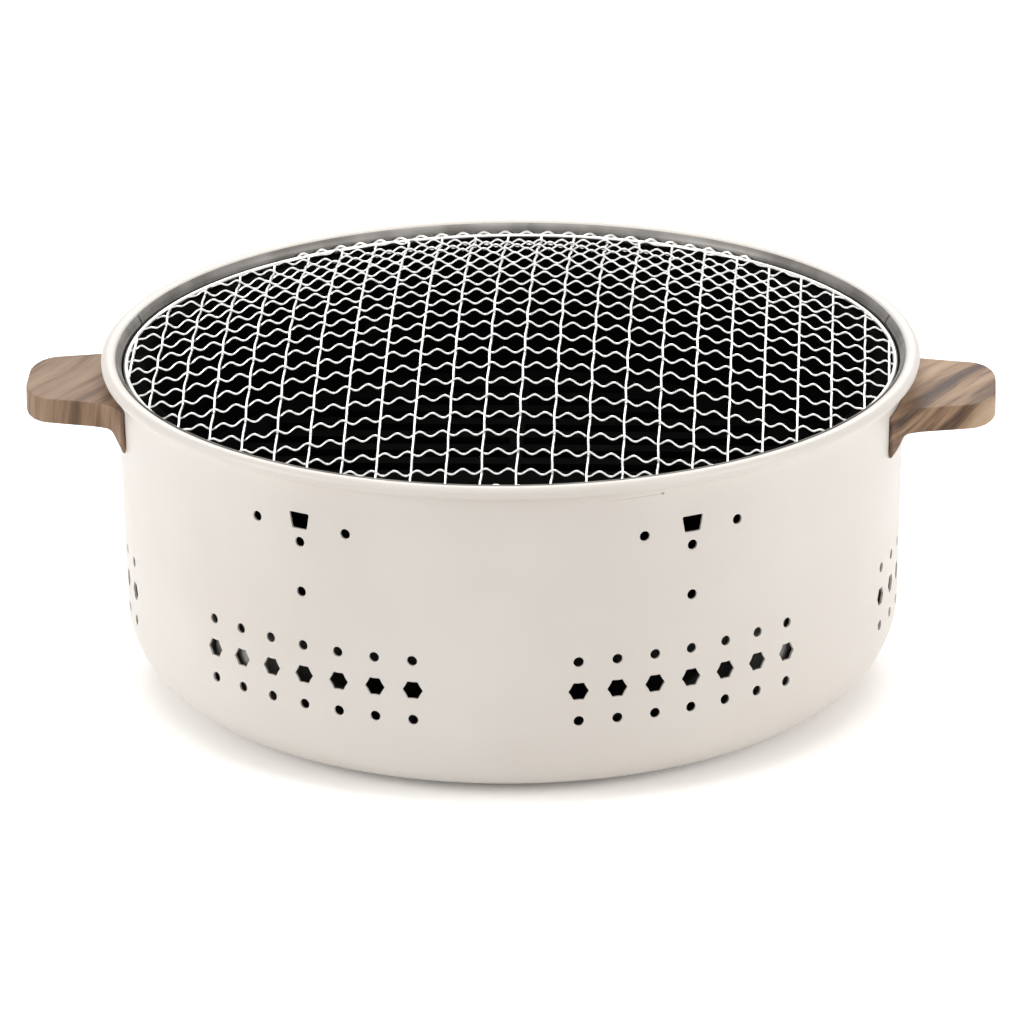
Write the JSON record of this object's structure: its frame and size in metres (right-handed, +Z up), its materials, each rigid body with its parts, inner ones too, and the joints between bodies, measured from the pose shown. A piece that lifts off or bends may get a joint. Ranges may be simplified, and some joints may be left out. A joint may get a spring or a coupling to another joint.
{
  "type": "charcoal brazier",
  "caption": "Round table-top charcoal brazier: pierced painted steel shell, domed lift-out cooking net, ember pan and wooden side handles.",
  "frame": {"origin": "on the floor, below the middle of the shell", "axes": "+X through the handles, -Y towards the front of the picture, +Z up"},
  "size_m": [0.4218, 0.356, 0.1707],
  "materials": {
    "cream_paint": "smooth cream heat-proof paint, satin",
    "liner_steel": "satin stainless steel",
    "plated_steel": "plated steel, dull",
    "net_wire": "bright drawn steel wire",
    "black_enamel": "black enamel under matt soot",
    "cast_iron": "raw casting, blackened",
    "walnut": "oiled hardwood with dark streaks",
    "silicone": "matt"
  },
  "bodies": {
    "shell": {"outer_shell": "cream_paint", "liner_front": "liner_steel", "liner_rear": "liner_steel", "heat_shield": "plated_steel", "pan_bracket_1": "plated_steel", "foot_1": "silicone", "pan_bracket_2": "plated_steel", "foot_2": "silicone", "pan_bracket_3": "plated_steel", "foot_3": "silicone", "pan_bracket_4": "plated_steel", "foot_4": "silicone", "shield_spacer_1": "plated_steel", "shield_rivet_1": "plated_steel", "shield_spacer_2": "plated_steel", "shield_rivet_2": "plated_steel", "shield_spacer_3": "plated_steel", "shield_rivet_3": "plated_steel", "handle_left": "walnut", "handle_plate_left": "plated_steel", "handle_screw_left_1": "plated_steel", "handle_screw_left_2": "plated_steel", "handle_right": "walnut", "handle_plate_right": "plated_steel", "handle_screw_right_1": "plated_steel", "handle_screw_right_2": "plated_steel"},
    "pan": {"charcoal_pan": "black_enamel"},
    "net": {"net_ring": "net_wire", "net_mesh": "net_wire"},
    "grate": {"charcoal_grate": "cast_iron"}
  },
  "joints": [
    {"name": "pan_lift", "type": "slide", "parent": "shell", "child": "pan", "axis": [0, 0, 1], "range_m": [0, 0.15]},
    {"name": "net_lift", "type": "slide", "parent": "pan", "child": "net", "axis": [0, 0, 1], "range_m": [0, 0.12]},
    {"name": "grate_lift", "type": "slide", "parent": "pan", "child": "grate", "axis": [0, 0, 1], "range_m": [0, 0.045]}
  ]
}
